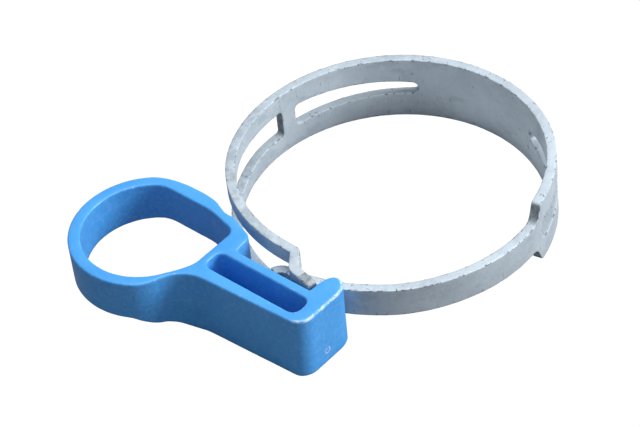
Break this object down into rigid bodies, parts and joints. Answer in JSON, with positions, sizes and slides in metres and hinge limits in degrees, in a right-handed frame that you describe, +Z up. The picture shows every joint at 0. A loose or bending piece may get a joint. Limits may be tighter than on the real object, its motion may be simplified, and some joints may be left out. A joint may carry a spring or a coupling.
{
  "type": "spring band hose clamp",
  "caption": "Spring band hose clamp of slotted steel strip, its tongue passing through a fork, held open by a plastic release clip with a finger pull.",
  "frame": {"origin": "middle of the bottom of the bounding box, on the plane that the clamp lies on", "axes": "+Z up along the ring's axis; +Y from the clip towards the back of the ring; +X along the clip's bar, from the finger pull to the hook"},
  "size_m": [0.0756, 0.0932, 0.015],
  "materials": {
    "band_coating": "matt silver-grey zinc flake coating, speckled, with darker specks and nicks along the edges",
    "clip_plastic": "satin moulded nylon, bright blue, slightly worn along the top edges"
  },
  "bodies": {
    "band_back": {"band_back": "band_coating"},
    "fork_arm_inner": {"fork_arm_inner": "band_coating"},
    "fork_arm_outer": {"fork_arm_outer": "band_coating"},
    "fork_bridge": {"fork_bridge": "band_coating"},
    "fork_legs": {"fork_leg_lower": "band_coating", "fork_leg_upper": "band_coating"},
    "fork_ear": {"fork_crossbar_ear": "band_coating"},
    "tongue_arm_inner": {"tongue_arm_inner": "band_coating"},
    "tongue_arm_outer": {"tongue_arm_outer": "band_coating"},
    "tongue_root": {"tongue_root": "band_coating"},
    "tongue_middle": {"tongue_middle": "band_coating"},
    "tongue_ear": {"tongue_ear": "band_coating"},
    "release_clip": {"release_clip": "clip_plastic"}
  },
  "joints": [
    {"name": "clip_pull_off", "type": "slide", "parent": "band_back", "child": "release_clip", "axis": [0, -1, 0], "range_m": [0, 0.08]},
    {"name": "fork_flex_1", "type": "hinge", "parent": "band_back", "child": "fork_arm_inner", "pos_m": [-0.00341, 0.04463, 0.0075], "axis": [0, 0, 1], "range_deg": [0, 4.24]},
    {"name": "fork_flex_2", "type": "hinge", "parent": "fork_arm_inner", "child": "fork_arm_outer", "pos_m": [-0.02013, 0.03439, 0.0075], "axis": [0, 0, 1], "range_deg": [0, 4.24]},
    {"name": "fork_flex_3", "type": "hinge", "parent": "fork_arm_outer", "child": "fork_bridge", "pos_m": [-0.02788, 0.01698, 0.0075], "axis": [0, 0, 1], "range_deg": [0, 4.24]},
    {"name": "fork_flex_4", "type": "hinge", "parent": "fork_bridge", "child": "fork_legs", "pos_m": [-0.0243, -0.0023, 0.0075], "axis": [0, 0, 1], "range_deg": [0, 4.24]},
    {"name": "fork_flex_5", "type": "hinge", "parent": "fork_legs", "child": "fork_ear", "pos_m": [-0.00991, -0.01524, 0.0075], "axis": [0, 0, 1], "range_deg": [0, 4.24]},
    {"name": "tongue_flex_1", "type": "hinge", "parent": "band_back", "child": "tongue_arm_inner", "pos_m": [0.01236, 0.04463, 0.0075], "axis": [0, 0, 1], "range_deg": [-4.24, 0]},
    {"name": "tongue_flex_2", "type": "hinge", "parent": "tongue_arm_inner", "child": "tongue_arm_outer", "pos_m": [0.02901, 0.03433, 0.0075], "axis": [0, 0, 1], "range_deg": [-4.24, 0]},
    {"name": "tongue_flex_3", "type": "hinge", "parent": "tongue_arm_outer", "child": "tongue_root", "pos_m": [0.0367, 0.01582, 0.0075], "axis": [0, 0, 1], "range_deg": [-4.24, 0]},
    {"name": "tongue_flex_4", "type": "hinge", "parent": "tongue_root", "child": "tongue_middle", "pos_m": [0.03279, -0.00269, 0.0075], "axis": [0, 0, 1], "range_deg": [-4.24, 0]},
    {"name": "tongue_flex_5", "type": "hinge", "parent": "tongue_middle", "child": "tongue_ear", "pos_m": [0.01986, -0.01593, 0.0075], "axis": [0, 0, 1], "range_deg": [-4.24, 0]}
  ],
  "couplings": [
    {"joint": "fork_flex_1", "follows": "clip_pull_off", "rad_per_m": 0.925},
    {"joint": "fork_flex_2", "follows": "clip_pull_off", "rad_per_m": 0.925},
    {"joint": "fork_flex_3", "follows": "clip_pull_off", "rad_per_m": 0.925},
    {"joint": "fork_flex_4", "follows": "clip_pull_off", "rad_per_m": 0.925},
    {"joint": "fork_flex_5", "follows": "clip_pull_off", "rad_per_m": 0.925},
    {"joint": "tongue_flex_1", "follows": "clip_pull_off", "rad_per_m": -0.925},
    {"joint": "tongue_flex_2", "follows": "clip_pull_off", "rad_per_m": -0.925},
    {"joint": "tongue_flex_3", "follows": "clip_pull_off", "rad_per_m": -0.925},
    {"joint": "tongue_flex_4", "follows": "clip_pull_off", "rad_per_m": -0.925},
    {"joint": "tongue_flex_5", "follows": "clip_pull_off", "rad_per_m": -0.925}
  ]
}
